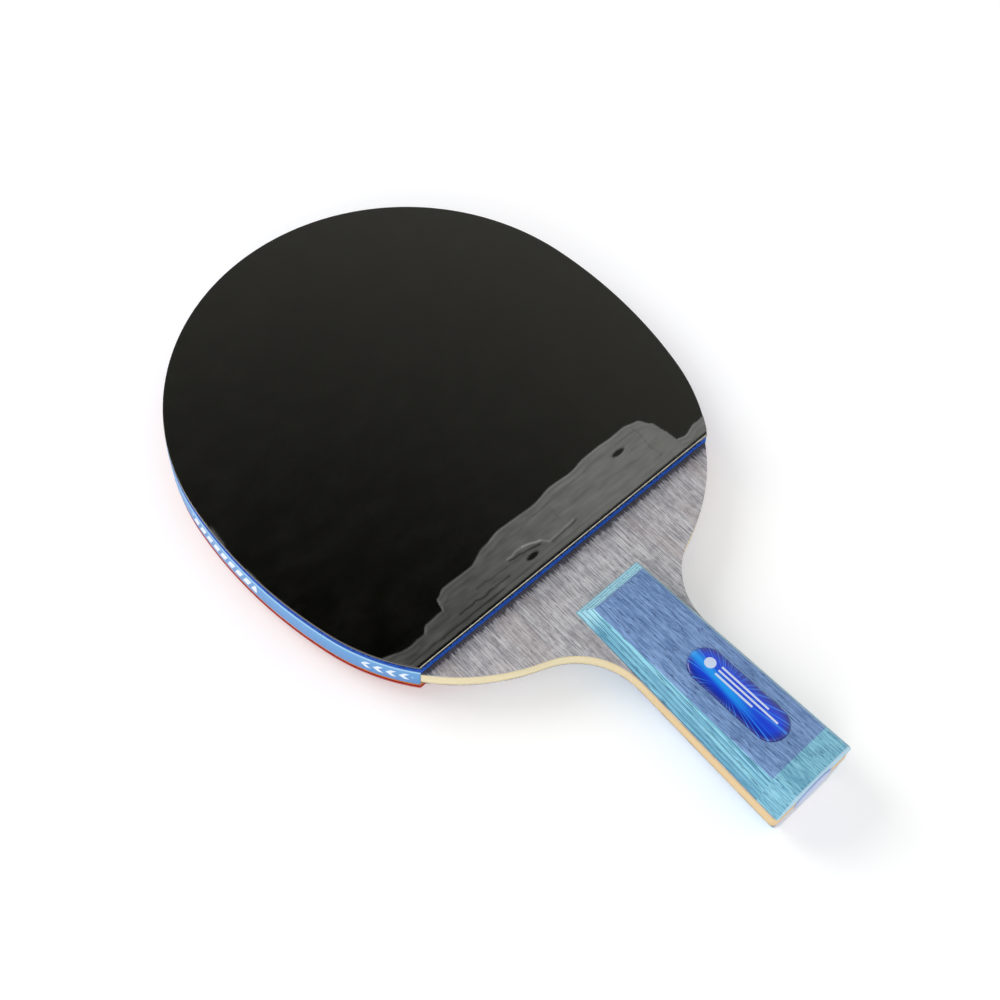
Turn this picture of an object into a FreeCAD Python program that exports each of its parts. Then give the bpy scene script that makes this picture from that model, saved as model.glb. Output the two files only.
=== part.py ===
import FreeCAD, Part
import math
import os
import Sketcher
from FreeCAD import Placement, Rotation, Vector

# Table tennis paddle, short penhold handle, lying with its black side up.
# X is across the head, +Y runs up the centre line to the tip of the head,
# +Z comes out of the front (black) face. All sizes in mm.

doc = FreeCAD.newDocument("paddle")
sheet = doc.addObject("Spreadsheet::Sheet", "Sizes")

SIZES = [
    # outline of the wooden blade: four tangent arcs a side, then a straight tang
    ("head_radius", 74.3), ("side_radius", 147.0), ("corner_radius", 65.0), ("neck_radius", 23.0),
    ("head_centre", 46.15), ("side_centre", 36.3), ("corner_centre", 16.0),
    ("neck_half_width", 13.65), ("tang_half_width", 15.5), ("butt_reach", 120.05),
    ("tang_corner", 1.6),
    # plies of the blade, 6 mm altogether
    ("core_thick", 3.4), ("inner_ply_thick", 0.7), ("face_ply_thick", 0.6),
    # rubber coverings: sponge, pips, sheet, clear film
    ("cut_reach", 24.85), ("sponge_thick", 2.1), ("pip_tall", 1.0), ("sheet_thick", 0.9),
    ("film_thick", 0.1), ("pip_radius", 0.95), ("pip_pitch", 3.3), ("pip_margin", 0.2),
    # edge tape: wraps the rim and laps about a millimetre on to each sponge
    ("tape_thick", 0.2), ("tape_wide", 8.0), ("tape_cut_clear", 6.0),
    # one half of the grip, from its blade end (front) to the butt
    ("grip_long", 80.0), ("joint_along", 72.2), ("bevel_run", 5.2), ("bevel_rise", 6.6),
    ("foot_front", 12.5), ("foot_butt", 15.35),
    ("waist_front", 11.2), ("waist_front_up", 2.4), ("waist_butt", 13.4), ("waist_butt_up", 4.4),
    ("shelf_front", 9.8), ("shelf_front_up", 4.8), ("shelf_butt", 11.0), ("shelf_butt_up", 8.48),
    ("slab_lean", 0.7), ("slab_rise", 0.9), ("crown_radius", 90.0),
    ("waist_round", 2.0), ("grip_corner", 1.4), ("butt_round", 0.5),
    # badges
    ("badge_along", 49.5), ("badge_half_gap", 11.7), ("badge_radius", 5.45),
    ("badge_sink", 0.4), ("badge_thick", 1.25), ("badge_round", 1.05), ("badge_clear", 1.0),
    ("lens_radius", 7.4), ("lens_thick", 0.6), ("lens_round", 0.5),
]

FORMULAS = [
    ("blade_thick", "=core_thick + 2 * inner_ply_thick + 2 * face_ply_thick"),
    ("rubber_thick", "=sponge_thick + pip_tall + sheet_thick"),
    ("butt_crown", "=crown_radius - sqrt(crown_radius ^ 2 - (shelf_butt - slab_lean) ^ 2)"),
    ("grip_thick", "=shelf_butt_up + slab_rise + butt_crown"),
    ("rear_face", "=grip_thick"),
    ("front_face", "=grip_thick + blade_thick"),
    ("grip_start", "=grip_long - butt_reach"),
    ("joint_share", "=joint_along / grip_long"),
    ("foot_joint", "=foot_front + (foot_butt - foot_front) * joint_share"),
    ("waist_joint", "=waist_front + (waist_butt - waist_front) * joint_share"),
    ("waist_joint_up", "=waist_front_up + (waist_butt_up - waist_front_up) * joint_share"),
    ("shelf_joint", "=shelf_front + (shelf_butt - shelf_front) * joint_share"),
    ("shelf_joint_up", "=shelf_front_up + (shelf_butt_up - shelf_front_up) * joint_share"),
    ("top_front", "=shelf_front - slab_lean"), ("top_front_up", "=shelf_front_up + slab_rise"),
    ("top_joint", "=shelf_joint - slab_lean"), ("top_joint_up", "=shelf_joint_up + slab_rise"),
    ("top_butt", "=shelf_butt - slab_lean"), ("top_butt_up", "=shelf_butt_up + slab_rise"),
    ("slab_slope", "=atan((shelf_butt_up - shelf_front_up) / grip_long)"),
]

for row, (name, value) in enumerate(SIZES + FORMULAS, start=1):
    sheet.set("A%d" % row, name)
    sheet.set("B%d" % row, str(value))
    sheet.setAlias("B%d" % row, name)
doc.recompute()


def size(name):
    """Value of a named size, in mm or degrees."""
    value = getattr(sheet, name)
    return float(getattr(value, "Value", value))


def bind(thing, path, formula):
    """Drive one property of a document object from the sheet."""
    thing.setExpression(path, formula)


def on_sheet(name):
    return "Sizes." + name


def new_body(label):
    body = doc.addObject("PartDesign::Body", label)
    body.Label = label
    return body


def new_sketch(body, name, plane, lift=None):
    """Sketch on one of the body's origin planes, moved along its normal by a named size."""
    sketch = body.newObject("Sketcher::SketchObject", name)
    origin_plane = [f for f in body.Origin.OriginFeatures if f.Role == plane][0]
    sketch.AttachmentSupport = [(origin_plane, "")]
    sketch.MapMode = "FlatFace"
    if lift:
        bind(sketch, "AttachmentOffset.Base.z", on_sheet(lift))
    return sketch


def dimension(sketch, kind, where, name, formula=None):
    """Add a dimension read from the sheet and keep it bound there."""
    number = size(name) if formula is None else size(name) + size(formula)
    index = sketch.addConstraint(Sketcher.Constraint(kind, *where, number))
    text = on_sheet(name) if formula is None else on_sheet(name) + " + " + on_sheet(formula)
    sketch.setExpression("Constraints[%d]" % index, text)


def arc(centre, radius, start, end):
    circle = Part.Circle(Vector(centre[0], centre[1], 0), Vector(0, 0, 1), radius)
    return Part.ArcOfCircle(circle, math.radians(start), math.radians(end))


def line(start, end):
    return Part.LineSegment(Vector(start[0], start[1], 0), Vector(end[0], end[1], 0))


def outline_centres():
    """Centres of the head, side and corner arcs on the right-hand side."""
    head = (0.0, size("head_centre"))
    gap = size("side_radius") - size("head_radius")
    drop = head[1] - size("side_centre")
    side = (-math.sqrt(gap ** 2 - drop ** 2), size("side_centre"))
    gap = size("side_radius") - size("corner_radius")
    drop = side[1] - size("corner_centre")
    corner = (side[0] + math.sqrt(gap ** 2 - drop ** 2), size("corner_centre"))
    return head, side, corner


def heading(start, end):
    return math.degrees(math.atan2(end[1] - start[1], end[0] - start[0]))


def draw_head(sketch, low_angle, grow):
    """Head, side and corner arcs; returns the indices of the two corner arcs."""
    head, side, corner = outline_centres()
    spread = size(grow) if grow else 0.0
    top, low = heading(side, head), heading(side, corner)
    pieces = [(head, "head_radius", top, 180 - top), (side, "side_radius", low, top),
              (side, "side_radius", 180 - top, 180 - low), (corner, "corner_radius", low_angle, low),
              (corner, "corner_radius", 180 - low, 180 - low_angle)]
    for index, (centre, radius, start, end) in enumerate(pieces):
        flip = -1 if index in (2, 4) else 1
        sketch.addGeometry(arc((flip * centre[0], centre[1]), size(radius) + spread, start, end))
    sketch.addConstraint([
        Sketcher.Constraint("Tangent", 0, 1, 1, 2), Sketcher.Constraint("Tangent", 1, 1, 3, 2),
        Sketcher.Constraint("Coincident", 0, 2, 2, 1), Sketcher.Constraint("Coincident", 2, 2, 4, 1),
        Sketcher.Constraint("Equal", 1, 2), Sketcher.Constraint("Equal", 3, 4),
        Sketcher.Constraint("PointOnObject", 0, 3, -2),
        Sketcher.Constraint("Horizontal", 0, 1, 0, 2),
        Sketcher.Constraint("Symmetric", 1, 1, 2, 2, -2),
        Sketcher.Constraint("Symmetric", 3, 1, 4, 2, -2)])
    dimension(sketch, "Radius", (0,), "head_radius", grow)
    dimension(sketch, "Radius", (1,), "side_radius", grow)
    dimension(sketch, "Radius", (3,), "corner_radius", grow)
    dimension(sketch, "DistanceY", (-1, 1, 0, 3), "head_centre")
    dimension(sketch, "DistanceY", (-1, 1, 1, 3), "side_centre")
    dimension(sketch, "DistanceY", (-1, 1, 3, 3), "corner_centre")
    return 3, 4


def draw_rubber_outline(sketch, grow=None, lower=None):
    """Head outline closed by the straight cut across the blade."""
    corner = outline_centres()[2]
    spread = size(grow) if grow else 0.0
    reach = size("cut_reach") + (size(lower) if lower else 0.0)
    radius = size("corner_radius") + spread
    low_angle = math.degrees(math.asin((-reach - corner[1]) / radius))
    right, left = draw_head(sketch, low_angle, grow)
    half = corner[0] + radius * math.cos(math.radians(low_angle))
    cut = sketch.addGeometry(line((-half, -reach), (half, -reach)))
    sketch.addConstraint([Sketcher.Constraint("Coincident", left, 2, cut, 1),
                          Sketcher.Constraint("Coincident", right, 1, cut, 2)])
    dimension(sketch, "DistanceY", (cut, 1, -1, 1), "cut_reach", lower)


def draw_blade_outline(sketch):
    """Whole blade: head, necks, tang and butt."""
    corner = outline_centres()[2]
    butt = -size("butt_reach")
    neck_radius, neck_x = size("neck_radius"), size("neck_half_width")
    neck_y, lean = butt + 50.0, 0.0
    for _ in range(6):
        lean = math.atan((size("tang_half_width") - neck_x) / (neck_y - butt))
        neck = (neck_x + neck_radius * math.cos(lean), 0.0)
        reach = size("corner_radius") + neck_radius
        neck = (neck[0], corner[1] - math.sqrt(reach ** 2 - (neck[0] - corner[0]) ** 2))
        neck_y = neck[1] - neck_radius * math.sin(lean)
    angle = heading(corner, neck)
    right, left = draw_head(sketch, angle, None)
    tilt = math.degrees(lean)
    neck_right = sketch.addGeometry(arc(neck, neck_radius, angle + 180, 180 + tilt))
    neck_left = sketch.addGeometry(arc((-neck[0], neck[1]), neck_radius, -tilt, -angle))
    tang_right = sketch.addGeometry(line((neck_x, neck_y), (size("tang_half_width"), butt)))
    tang_left = sketch.addGeometry(line((-neck_x, neck_y), (-size("tang_half_width"), butt)))
    end = sketch.addGeometry(line((-size("tang_half_width"), butt), (size("tang_half_width"), butt)))
    sketch.addConstraint([
        Sketcher.Constraint("Tangent", right, 1, neck_right, 1),
        Sketcher.Constraint("Tangent", neck_right, 2, tang_right, 1),
        Sketcher.Constraint("Coincident", left, 2, neck_left, 2),
        Sketcher.Constraint("Coincident", neck_left, 1, tang_left, 1),
        Sketcher.Constraint("Coincident", tang_right, 2, end, 2),
        Sketcher.Constraint("Coincident", tang_left, 2, end, 1),
        Sketcher.Constraint("Equal", neck_right, neck_left),
        Sketcher.Constraint("Symmetric", tang_right, 1, tang_left, 1, -2),
        Sketcher.Constraint("Symmetric", tang_right, 2, tang_left, 2, -2)])
    dimension(sketch, "Radius", (neck_right,), "neck_radius")
    dimension(sketch, "DistanceX", (-1, 1, tang_right, 1), "neck_half_width")
    dimension(sketch, "DistanceX", (-1, 1, tang_right, 2), "tang_half_width")
    dimension(sketch, "DistanceY", (end, 1, -1, 1), "butt_reach")


def pad(body, sketch, name, length):
    feature = body.newObject("PartDesign::Pad", name)
    feature.Profile = sketch
    bind(feature, "Length", on_sheet(length))
    doc.recompute()
    return feature


def pick_edges(shape, test):
    return ["Edge%d" % (i + 1) for i, edge in enumerate(shape.Edges) if test(edge)]


def upright(edge):
    """True for an edge running straight along Z."""
    ends = [v.Point for v in edge.Vertexes]
    return len(ends) == 2 and math.hypot(ends[0].x - ends[1].x, ends[0].y - ends[1].y) < 1e-6


def round_edges(body, name, test, radius, kind="PartDesign::Fillet"):
    """Fillet or chamfer the edges of the body's last feature that pass the test."""
    base = body.Tip
    feature = body.newObject(kind, name)
    feature.Base = (base, pick_edges(base.Shape, test))
    bind(feature, "Radius" if kind.endswith("Fillet") else "Size", on_sheet(radius))
    doc.recompute()
    return feature


def cut_away(body, sketch, name, depth=None):
    """Pocket to a named depth, or right through both ways; checks that material went."""
    before = body.Tip.Shape.Volume
    feature = body.newObject("PartDesign::Pocket", name)
    feature.Profile = sketch
    if depth:
        bind(feature, "Length", on_sheet(depth))
    else:
        feature.Type = "ThroughAll"
        feature.SideType = "Symmetric"
    doc.recompute()
    if not feature.Shape.Volume < before:
        raise RuntimeError(name + " removed nothing")
    return feature


def seat(thing, side, lift="0", along="0"):
    """Place a piece on the front or the rear face of the blade; the rear is turned over."""
    sign = "+" if side == "front" else "-"
    face = on_sheet(side + "_face")
    angle = 0 if side == "front" else 180
    thing.Placement = Placement(Vector(0, 0, 0), Rotation(Vector(0, 1, 0), angle))
    bind(thing, "Placement.Base.y", along)
    bind(thing, "Placement.Base.z", "%s %s (%s)" % (face, sign, lift))


def blade_ply(label, thick, level):
    """One ply, the full shape of the blade, with its tang corners rounded."""
    body = new_body(label)
    sketch = new_sketch(body, label + "_outline", "XY_Plane")
    draw_blade_outline(sketch)
    pad(body, sketch, label + "_pad", thick)
    butt = -size("butt_reach")
    round_edges(body, label + "_corners",
                lambda e: upright(e) and e.Vertexes[0].Point.y < butt + 0.01, "tang_corner")
    bind(body, "Placement.Base.z", level)
    return body


def rubber_layer(label, side, thick, lift):
    """A flat layer cut to the head outline: sponge or film."""
    body = new_body(label)
    sketch = new_sketch(body, label + "_outline", "XY_Plane")
    draw_rubber_outline(sketch)
    pad(body, sketch, label + "_pad", thick)
    seat(body, side, lift)
    return body


def half_width(height, inset):
    """Half width of the head outline at a given Y, drawn in by an inset."""
    head, side, corner = outline_centres()
    joins = []
    for centre, other in ((side, head), (side, corner)):
        angle = math.radians(heading(centre, other))
        joins.append(side[1] + (size("side_radius") - inset) * math.sin(angle))
    if height > joins[0]:
        centre, radius = head, size("head_radius")
    elif height > joins[1]:
        centre, radius = side, size("side_radius")
    else:
        centre, radius = corner, size("corner_radius")
    rest = (radius - inset) ** 2 - (height - centre[1]) ** 2
    return centre[0] + math.sqrt(rest) if rest > 0 else -1.0


def pip_centres():
    """Staggered rows of pip centres that fit whole inside the outline."""
    pitch, inset = size("pip_pitch"), size("pip_radius") + size("pip_margin")
    spacing = pitch * math.sqrt(3) / 2
    top = size("head_centre") + size("head_radius") - inset
    rows = int((top + size("cut_reach") - inset) / spacing) + 1
    for row in range(rows):
        y = -size("cut_reach") + inset + row * spacing
        shift = 0.5 * (row % 2)
        reach = half_width(y, inset)
        count = int(reach / pitch) + 1
        for column in range(-count, count + 1):
            x = (column + shift) * pitch
            if abs(x) < reach:
                yield Vector(x, y, 0)


def pip_faces(wire, tall):
    """Side and flat end of one pip standing down from its circle."""
    side = wire.Edges[0].extrude(Vector(0, 0, -tall))
    rims = [e for e in side.Edges if e.Closed and e.CenterOfMass.z < wire.CenterOfMass.z - tall / 2]
    return [side, Part.Face(Part.Wire(rims))]


def topsheet(label, side):
    """Rubber sheet whose pips point inwards and stand on the sponge."""
    body = new_body(label + "_sheet")
    sketch = new_sketch(body, label + "_outline", "XY_Plane")
    draw_rubber_outline(sketch)
    pad(body, sketch, label + "_pad", "sheet_thick")
    plain = body.Shape.Solids[0]
    under = [f for f in plain.Faces if abs(f.CenterOfMass.z) < 1e-6][0]
    rest = [f for f in plain.Faces if abs(f.CenterOfMass.z) > 1e-6]
    holes = [Part.Wire(Part.makeCircle(size("pip_radius"), centre)) for centre in pip_centres()]
    faces = rest + [Part.Face(under.OuterWire)]
    for wire in holes:
        faces += pip_faces(wire, size("pip_tall"))
    faces[len(rest)].cutHoles(holes)
    piece = doc.addObject("Part::Feature", label)
    piece.Label = label
    shell = Part.makeShell(faces)
    shell.sewShape()
    piece.Shape = Part.makeSolid(shell)
    seat(piece, side, "Sizes.sponge_thick + Sizes.pip_tall")
    return piece


def edge_tape():
    """Thin band round the rim of the head, open along the cut line."""
    body = new_body("edge_tape")
    outside = new_sketch(body, "tape_outside", "XY_Plane")
    draw_rubber_outline(outside, grow="tape_thick")
    pad(body, outside, "tape_pad", "tape_wide")
    inside = new_sketch(body, "tape_inside", "XY_Plane")
    draw_rubber_outline(inside, lower="tape_cut_clear")
    cut_away(body, inside, "tape_hollow")
    bind(body, "Placement.Base.z", "Sizes.rear_face + (Sizes.blade_thick - Sizes.tape_wide) / 2")
    return body


def draw_profile(sketch, points, crowned):
    """Closed profile mirrored about the V axis, foot first; the top may be a crown arc."""
    spots = [(size(x), size(y) if y else 0.0) for x, y in points]
    right = [sketch.addGeometry(line(a, b)) for a, b in zip(spots, spots[1:])]
    left = [sketch.addGeometry(line((-a[0], a[1]), (-b[0], b[1]))) for a, b in zip(spots, spots[1:])]
    foot = sketch.addGeometry(line((-spots[0][0], spots[0][1]), spots[0]))
    end_x, end_y = spots[-1]
    if crowned:
        radius = size("crown_radius")
        angle = math.degrees(math.asin(end_x / radius))
        centre = (0.0, end_y - math.sqrt(radius ** 2 - end_x ** 2))
        lid = sketch.addGeometry(arc(centre, radius, 90 - angle, 90 + angle))
    else:
        lid = sketch.addGeometry(line((end_x, end_y), (-end_x, end_y)))
    sketch.addConstraint([Sketcher.Constraint("Coincident", foot, 2, right[0], 1),
                          Sketcher.Constraint("Coincident", foot, 1, left[0], 1),
                          Sketcher.Constraint("Coincident", right[-1], 2, lid, 1),
                          Sketcher.Constraint("Coincident", left[-1], 2, lid, 2)])
    for side in (right, left):
        for first, second in zip(side, side[1:]):
            sketch.addConstraint(Sketcher.Constraint("Coincident", first, 2, second, 1))
    places = [(right[0], 1, left[0])] + [(a, 2, b) for a, b in zip(right, left)]
    for (geometry, end, twin), (x, y) in zip(places, points):
        sketch.addConstraint(Sketcher.Constraint("Symmetric", geometry, end, twin, end, -2))
        dimension(sketch, "DistanceX", (-1, 1, geometry, end), x)
        if y:
            dimension(sketch, "DistanceY", (-1, 1, geometry, end), y)
        else:
            sketch.addConstraint(Sketcher.Constraint("PointOnObject", geometry, end, -1))
    if crowned:
        dimension(sketch, "Radius", (lid,), "crown_radius")


def draw_bevel(sketch):
    """Wedge that the sloping blade end of the grip leaves out."""
    run, rise = size("bevel_run"), size("bevel_rise")
    corners = [(0, 0), (0, rise), (-run, rise)]
    sides = [sketch.addGeometry(line(corners[i], corners[(i + 1) % 3])) for i in range(3)]
    sketch.addConstraint([Sketcher.Constraint("Coincident", sides[i], 2, sides[(i + 1) % 3], 1)
                          for i in range(3)])
    sketch.addConstraint([Sketcher.Constraint("Coincident", sides[0], 1, -1, 1),
                          Sketcher.Constraint("Vertical", sides[0]),
                          Sketcher.Constraint("Horizontal", sides[1])])
    dimension(sketch, "DistanceY", (-1, 1, sides[1], 1), "bevel_rise")
    dimension(sketch, "DistanceX", (sides[1], 2, -1, 1), "bevel_run")


def loft(body, label, stations, points_at, crowned):
    """Ruled solid between two cross-sections of the grip."""
    sketches = []
    for station, lift in stations:
        sketch = new_sketch(body, "%s_%s" % (label, station), "XZ_Plane", lift)
        draw_profile(sketch, points_at(station), crowned)
        sketches.append(sketch)
    feature = body.newObject("PartDesign::AdditiveLoft", label + "_loft")
    feature.Profile = sketches[0]
    feature.Sections = [sketches[1]]
    feature.Ruled = True
    doc.recompute()
    return feature


def flank(station):
    return [("foot_" + station, None), ("waist_" + station, "waist_%s_up" % station),
            ("shelf_" + station, "shelf_%s_up" % station)]


def slab_section(station):
    return [("shelf_" + station, "shelf_%s_up" % station), ("top_" + station, "top_%s_up" % station)]


def end_section(station):
    return flank(station) + slab_section(station)[1:]


def on_waist(edge):
    """True for the long edges where the flank changes slope."""
    middle = edge.CenterOfMass
    return (1.5 < middle.z < size("waist_butt_up") and abs(middle.x) > size("waist_front") - 0.3
            and abs(edge.Vertexes[0].Point.y - edge.Vertexes[-1].Point.y) > 5)


def grip_base(label, side):
    """Laminated block under the slab, sloping at its blade end."""
    body = new_body(label)
    loft(body, label, (("front", None), ("joint", "joint_along")), flank, False)
    round_edges(body, label + "_waist", on_waist, "waist_round")
    bevel = new_sketch(body, label + "_bevel_side", "YZ_Plane")
    draw_bevel(bevel)
    cut_away(body, bevel, label + "_bevel")
    seat(body, side, along="Sizes.grip_start")
    return body


def draw_capsule(sketch):
    """Round-ended slot shape, long way along the grip."""
    radius, gap = size("badge_radius"), size("badge_half_gap")
    sketch.addGeometry([arc((0, gap), radius, 0, 180), arc((0, -gap), radius, 180, 360),
                        line((radius, -gap), (radius, gap)), line((-radius, -gap), (-radius, gap))])
    sketch.addConstraint([
        Sketcher.Constraint("Tangent", 0, 1, 2, 2), Sketcher.Constraint("Tangent", 0, 2, 3, 2),
        Sketcher.Constraint("Tangent", 1, 1, 3, 1), Sketcher.Constraint("Tangent", 1, 2, 2, 1),
        Sketcher.Constraint("Equal", 0, 1), Sketcher.Constraint("Vertical", 2),
        Sketcher.Constraint("Symmetric", 0, 3, 1, 3, -1, 1)])
    dimension(sketch, "Radius", (0,), "badge_radius")
    dimension(sketch, "DistanceY", (-1, 1, 0, 3), "badge_half_gap")


def slab_height(along):
    """Expression for the top of the slab, on the centre line, a distance from its blade end."""
    slope = "(Sizes.shelf_butt_up - Sizes.shelf_front_up) / Sizes.grip_long"
    return "Sizes.shelf_front_up + Sizes.slab_rise + Sizes.butt_crown + %s * %s" % (slope, along)


def grip_slab(label, side, inlaid):
    """Blue-grey veneer slab on top of the laminated block; may be let in for the badge."""
    body = new_body(label)
    loft(body, label, (("front", None), ("joint", "joint_along")), slab_section, True)
    bevel = new_sketch(body, label + "_bevel_side", "YZ_Plane")
    draw_bevel(bevel)
    cut_away(body, bevel, label + "_bevel")
    if inlaid:
        recess = new_sketch(body, label + "_badge_seat", "XY_Plane")
        draw_capsule(recess)
        recess.AttachmentOffset = Placement(Vector(), Rotation(Vector(1, 0, 0), -size("slab_slope")))
        bind(recess, "AttachmentOffset.Base.y", "-Sizes.badge_along")
        bind(recess, "AttachmentOffset.Base.z",
             slab_height("Sizes.badge_along") + " - Sizes.badge_sink + Sizes.badge_clear")
        cut_away(body, recess, label + "_recess", "badge_clear")
    seat(body, side, along="Sizes.grip_start")
    return body


def grip_end(label, side):
    """Full-height block that closes the grip at the butt, its corners eased."""
    body = new_body(label)
    loft(body, label, (("joint", "joint_along"), ("butt", "grip_long")), end_section, True)
    far = -size("grip_long")
    round_edges(body, label + "_corner",
                lambda e: all(abs(v.Point.y - far) < 1e-6 for v in e.Vertexes)
                and e.CenterOfMass.z > 0.1, "butt_round")
    seat(body, side, along="Sizes.grip_start")
    return body


def grip_badge(label):
    """Domed capsule badge let into the front slab."""
    body = new_body(label)
    sketch = new_sketch(body, label + "_outline", "XY_Plane")
    draw_capsule(sketch)
    pad(body, sketch, label + "_pad", "badge_thick")
    thick = size("badge_thick")
    round_edges(body, label + "_dome",
                lambda e: all(abs(v.Point.z - thick) < 1e-6 for v in e.Vertexes), "badge_round")
    body.Placement = Placement(Vector(), Rotation(Vector(1, 0, 0), -size("slab_slope")))
    bind(body, "Placement.Base.y", "Sizes.grip_start - Sizes.badge_along")
    bind(body, "Placement.Base.z",
         "Sizes.front_face + " + slab_height("Sizes.badge_along") + " - Sizes.badge_sink")
    return body


def butt_lens(label):
    """Round clear-domed badge on the end of the handle."""
    body = new_body(label)
    sketch = new_sketch(body, label + "_outline", "XZ_Plane")
    sketch.addGeometry(Part.Circle(Vector(0, 0, 0), Vector(0, 0, 1), size("lens_radius")))
    sketch.addConstraint(Sketcher.Constraint("Coincident", 0, 3, -1, 1))
    dimension(sketch, "Radius", (0,), "lens_radius")
    pad(body, sketch, label + "_pad", "lens_thick")
    thick = size("lens_thick")
    round_edges(body, label + "_dome",
                lambda e: e.Closed and abs(e.CenterOfMass.y + thick) < 1e-6, "lens_round")
    bind(body, "Placement.Base.y", "-Sizes.butt_reach")
    bind(body, "Placement.Base.z", "Sizes.rear_face + Sizes.blade_thick / 2")
    return body


def build():
    inner = "Sizes.rear_face + Sizes.face_ply_thick"
    core = inner + " + Sizes.inner_ply_thick"
    pieces = [
        blade_ply("rear_face_ply", "face_ply_thick", "Sizes.rear_face"),
        blade_ply("rear_inner_ply", "inner_ply_thick", inner),
        blade_ply("core_ply", "core_thick", core),
        blade_ply("front_inner_ply", "inner_ply_thick", core + " + Sizes.core_thick"),
        blade_ply("front_face_ply", "face_ply_thick", "Sizes.front_face - Sizes.face_ply_thick"),
        edge_tape(),
        butt_lens("butt_badge"),
        grip_badge("grip_badge"),
    ]
    for side in ("front", "rear"):
        pieces += [
            rubber_layer(side + "_sponge", side, "sponge_thick", "0"),
            topsheet(side + "_topsheet", side),
            rubber_layer(side + "_film", side, "film_thick", "Sizes.rubber_thick"),
            grip_base(side + "_grip_base", side),
            grip_slab(side + "_grip_slab", side, side == "front"),
            grip_end(side + "_grip_end_block", side),
        ]
    return pieces


def check(pieces):
    """Stop before writing if anything in the document is broken."""
    doc.recompute()
    for thing in doc.Objects:
        if "Invalid" in thing.State or "Error" in thing.State:
            raise RuntimeError("%s: %s" % (thing.Name, thing.State))
    for piece in pieces:
        if piece.Shape.isNull() or not piece.Shape.isValid() or len(piece.Shape.Solids) != 1:
            raise RuntimeError(piece.Label + " is not one sound solid")


def export(pieces):
    os.makedirs("parts", exist_ok=True)
    for piece in pieces:
        piece.Shape.exportStep("parts/%s.step" % piece.Label)
        box = piece.Shape.BoundBox
        print("%-22s vol %9.1f  x %7.2f %7.2f  y %7.2f %7.2f  z %6.2f %6.2f" % (
            piece.Label, piece.Shape.Volume, box.XMin, box.XMax, box.YMin, box.YMax, box.ZMin, box.ZMax))


parts = build()
check(parts)
export(parts)
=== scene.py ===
import math

import bpy
from mathutils import Matrix, Vector, noise


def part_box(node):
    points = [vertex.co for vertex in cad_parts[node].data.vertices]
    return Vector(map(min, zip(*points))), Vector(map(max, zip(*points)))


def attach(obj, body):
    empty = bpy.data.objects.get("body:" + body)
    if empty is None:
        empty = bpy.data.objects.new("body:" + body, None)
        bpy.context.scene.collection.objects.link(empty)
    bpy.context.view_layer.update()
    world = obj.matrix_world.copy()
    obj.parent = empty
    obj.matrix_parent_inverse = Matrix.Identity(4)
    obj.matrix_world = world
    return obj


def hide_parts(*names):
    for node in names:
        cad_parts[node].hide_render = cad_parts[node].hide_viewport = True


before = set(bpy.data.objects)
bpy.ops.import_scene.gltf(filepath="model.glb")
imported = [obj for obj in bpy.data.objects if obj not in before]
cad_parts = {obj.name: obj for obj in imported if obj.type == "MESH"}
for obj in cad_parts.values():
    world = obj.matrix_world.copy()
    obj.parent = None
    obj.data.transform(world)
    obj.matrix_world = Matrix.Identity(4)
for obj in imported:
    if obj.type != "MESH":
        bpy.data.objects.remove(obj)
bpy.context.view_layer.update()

MM = 0.001


def box_mm(node):
    """Lowest and highest corner of a CAD node at rest, in mm to a tenth of a micron."""
    return [[round(c / MM, 4) for c in corner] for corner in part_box(node)]


CORE, SPONGE, SHEET = box_mm("core_ply"), box_mm("front_sponge"), box_mm("front_topsheet")

# Outline of the head (mm): centres and radii of its head, side and corner arcs.
HEAD = ((0.0, 46.15), 74.3)
SIDE = ((-72.028, 36.3), 147.0)
CORNER = ((7.421, 16.0), 65.0)
TIP_Y = HEAD[0][1] + HEAD[1]

# Along Y (mm): the cut across the rubber, the grip's blade end, and the butt.
CUT_Y = SPONGE[0][1]
GRIP_START = box_mm("front_grip_base")[1][1]
BUTT_Y = CORE[0][1]

# Middle of the blade above the frame's base, and levels of the stack outwards from it (mm).
MID = round((CORE[0][2] + CORE[1][2]) / 2, 4)
SPONGE_TOP = round(SPONGE[1][2] - MID, 4)
SHEET_TOP = round(SHEET[1][2] - MID, 4)

# Pips of the rubber (mm): height, radius and spacing. The sheet's underside is on them.
PIP_TALL, PIP_RADIUS, PIP_PITCH = 1.0, 0.95, 3.3
SHEET_UNDER = SPONGE_TOP + PIP_TALL

# Edge tape (mm): its width and how far it stands out from the rim.
TAPE_WIDE, TAPE_THICK = 8.0, 0.2

# Grip badge (mm): centre along Y, half the straight stretch of its capsule, its seat
# above the blade's middle, and the slope of the slab it lies on.
BADGE_Y = GRIP_START - 49.5
BADGE_GAP = 11.7
BADGE_SEAT = 11.1684
SLAB_SLOPE = math.atan(3.68 / (GRIP_START - BUTT_Y))


# ---------------------------------------------------------------- node graphs

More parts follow.
